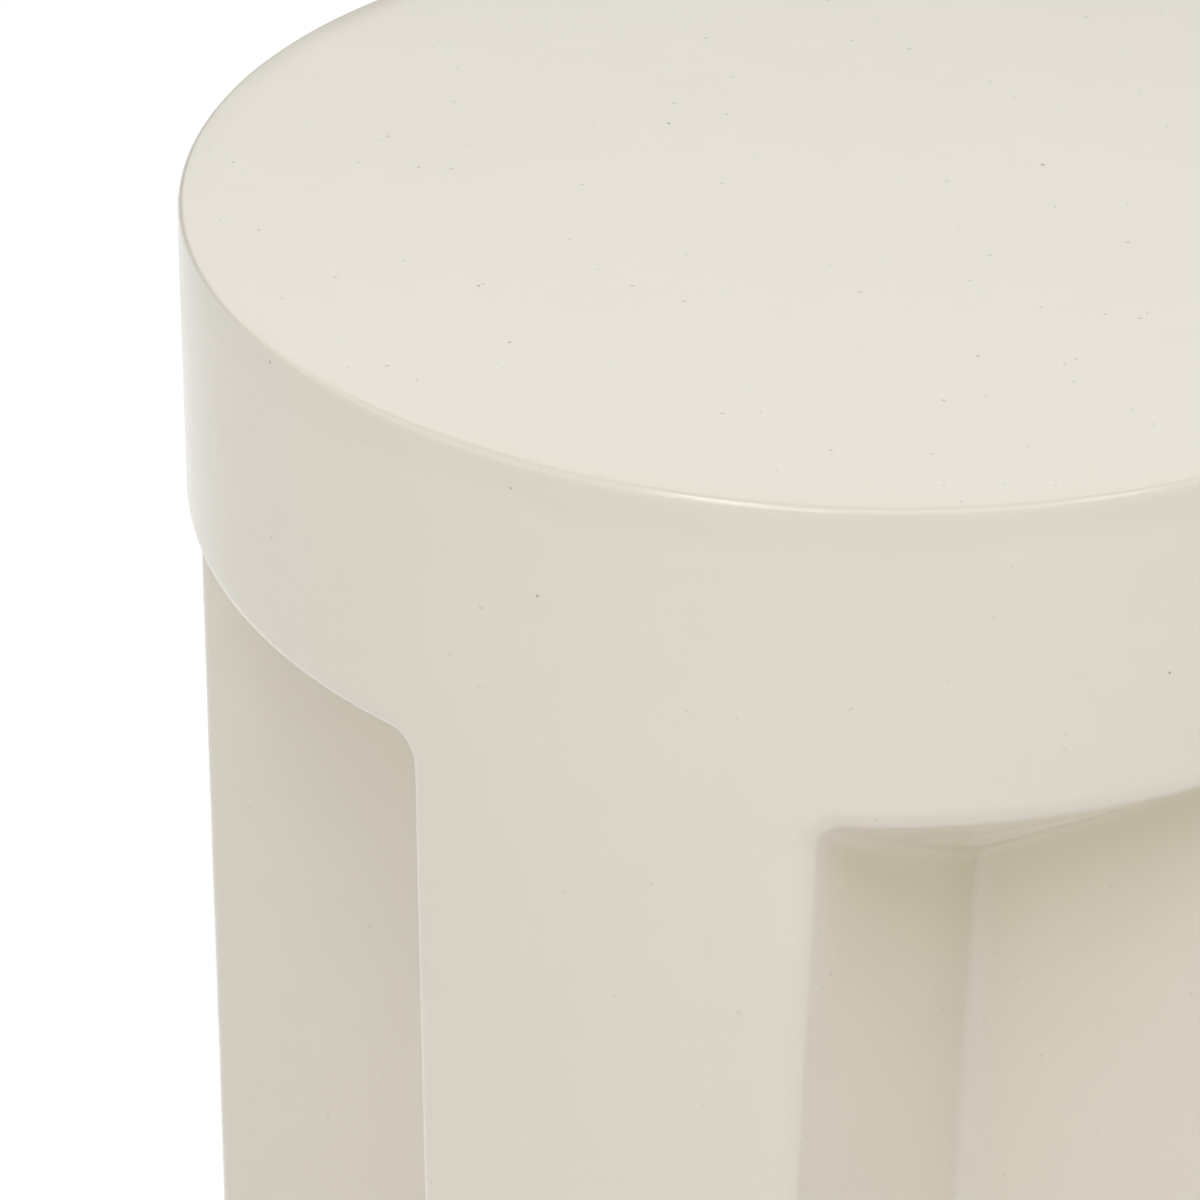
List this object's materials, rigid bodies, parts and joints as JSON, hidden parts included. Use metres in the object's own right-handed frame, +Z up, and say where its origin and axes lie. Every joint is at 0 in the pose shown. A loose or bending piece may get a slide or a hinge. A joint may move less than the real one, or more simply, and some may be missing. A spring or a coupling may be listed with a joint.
{
  "type": "drum side table",
  "caption": "Round ceramic drum side table: a deep plain head on a cross-plan base with V-shaped recesses between its arms, hollow cast, on felt pads.",
  "frame": {"origin": "on the floor at the centre of the table", "axes": "+Z up through the centre of the round top; the four arms point along +X, +Y, -X and -Y"},
  "size_m": [0.3999, 0.4, 0.45],
  "materials": {
    "glaze": "warm off-white gloss glaze with fine iron specks",
    "felt": "pressed wool felt, grey-brown",
    "adhesive": "satin acrylic film"
  },
  "bodies": {
    "root": {"glazed_body": "glaze", "foot_pad_front": "felt", "pad_adhesive_front": "adhesive", "foot_pad_right": "felt", "pad_adhesive_right": "adhesive", "foot_pad_back": "felt", "pad_adhesive_back": "adhesive", "foot_pad_left": "felt", "pad_adhesive_left": "adhesive"}
  },
  "joints": []
}
